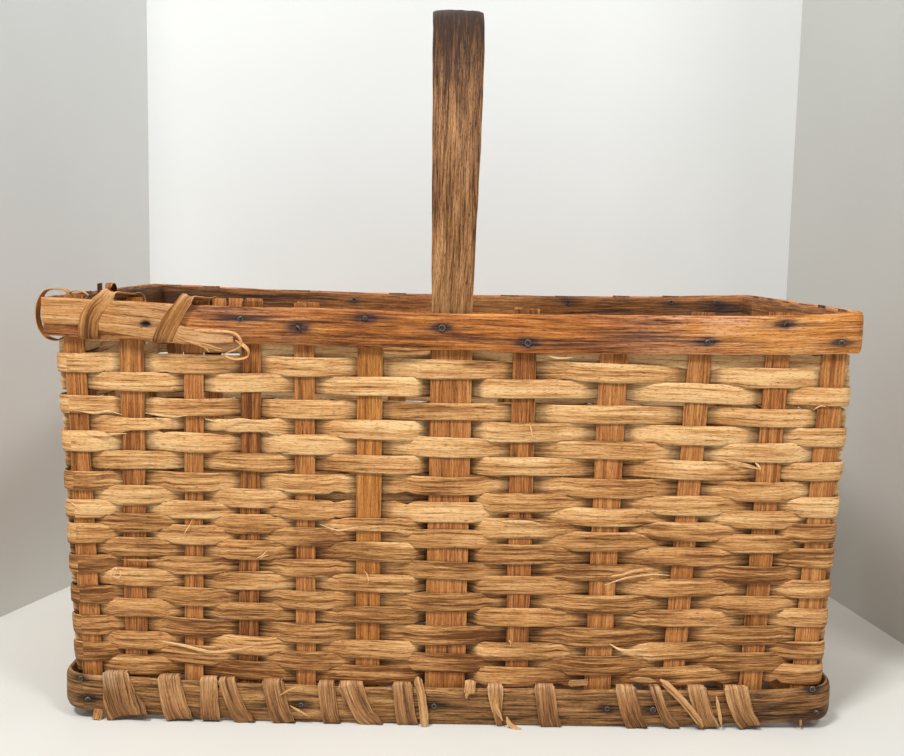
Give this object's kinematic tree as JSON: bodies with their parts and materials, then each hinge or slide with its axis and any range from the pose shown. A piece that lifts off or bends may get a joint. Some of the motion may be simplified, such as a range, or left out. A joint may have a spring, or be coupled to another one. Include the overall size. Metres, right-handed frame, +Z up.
{
  "type": "splint basket",
  "caption": "Rectangular woven splint basket with nailed wooden rims, a lashed foot hoop and a fixed bow handle.",
  "frame": {"origin": "on the floor under the middle of the basket, on the plane that the foot lashings rest on", "axes": "+X to the right along the long side, +Y to the back through the basket's depth, +Z up"},
  "size_m": [0.5663, 0.2951, 0.523],
  "materials": {
    "stake_splint": "aged",
    "weaver_splint": "aged",
    "rim_wood": "aged",
    "patch_wood": "aged",
    "hoop_wood": "aged",
    "handle_wood": "aged",
    "rim_lash_splint": "satin",
    "foot_lash_splint": "aged",
    "nail_iron": "aged"
  },
  "bodies": {
    "root": {"cross_stake_01": "stake_splint", "cross_stake_02": "stake_splint", "cross_stake_03": "stake_splint", "cross_stake_04": "stake_splint", "cross_stake_05": "stake_splint", "cross_stake_06": "stake_splint", "cross_stake_07": "stake_splint", "cross_stake_08": "stake_splint", "cross_stake_09": "stake_splint", "cross_stake_10": "stake_splint", "cross_stake_11": "stake_splint", "cross_stake_12": "stake_splint", "long_stake_1": "stake_splint", "long_stake_2": "stake_splint", "long_stake_3": "stake_splint", "long_stake_4": "stake_splint", "long_stake_5": "stake_splint", "long_stake_6": "stake_splint", "weaver_01": "weaver_splint", "weaver_02": "weaver_splint", "weaver_03": "weaver_splint", "weaver_04": "weaver_splint", "weaver_05": "weaver_splint", "weaver_06": "weaver_splint", "weaver_07": "weaver_splint", "weaver_08": "weaver_splint", "weaver_09": "weaver_splint", "weaver_10": "weaver_splint", "weaver_11": "weaver_splint", "weaver_12": "weaver_splint", "weaver_13": "weaver_splint", "weaver_14": "weaver_splint", "weaver_15": "weaver_splint", "weaver_16": "weaver_splint", "weaver_17": "weaver_splint", "weaver_18": "weaver_splint", "weaver_19": "weaver_splint", "weaver_20": "weaver_splint", "weaver_21": "weaver_splint", "outer_rim": "rim_wood", "inner_rim": "rim_wood", "rim_patch": "patch_wood", "foot_hoop": "hoop_wood", "handle": "handle_wood", "rim_lashing": "rim_lash_splint", "rim_lashing_corner": "rim_lash_splint", "foot_lashing_front": "foot_lash_splint", "foot_lashing_right": "foot_lash_splint", "foot_lashing_back": "foot_lash_splint", "foot_lashing_left": "foot_lash_splint", "handle_nail_front": "nail_iron", "handle_nail_back": "nail_iron", "rim_nail_1": "nail_iron", "rim_nail_2": "nail_iron", "rim_nail_3": "nail_iron", "rim_nail_4": "nail_iron", "rim_nail_5": "nail_iron", "rim_nail_6": "nail_iron", "rim_nail_7": "nail_iron"}
  },
  "joints": []
}
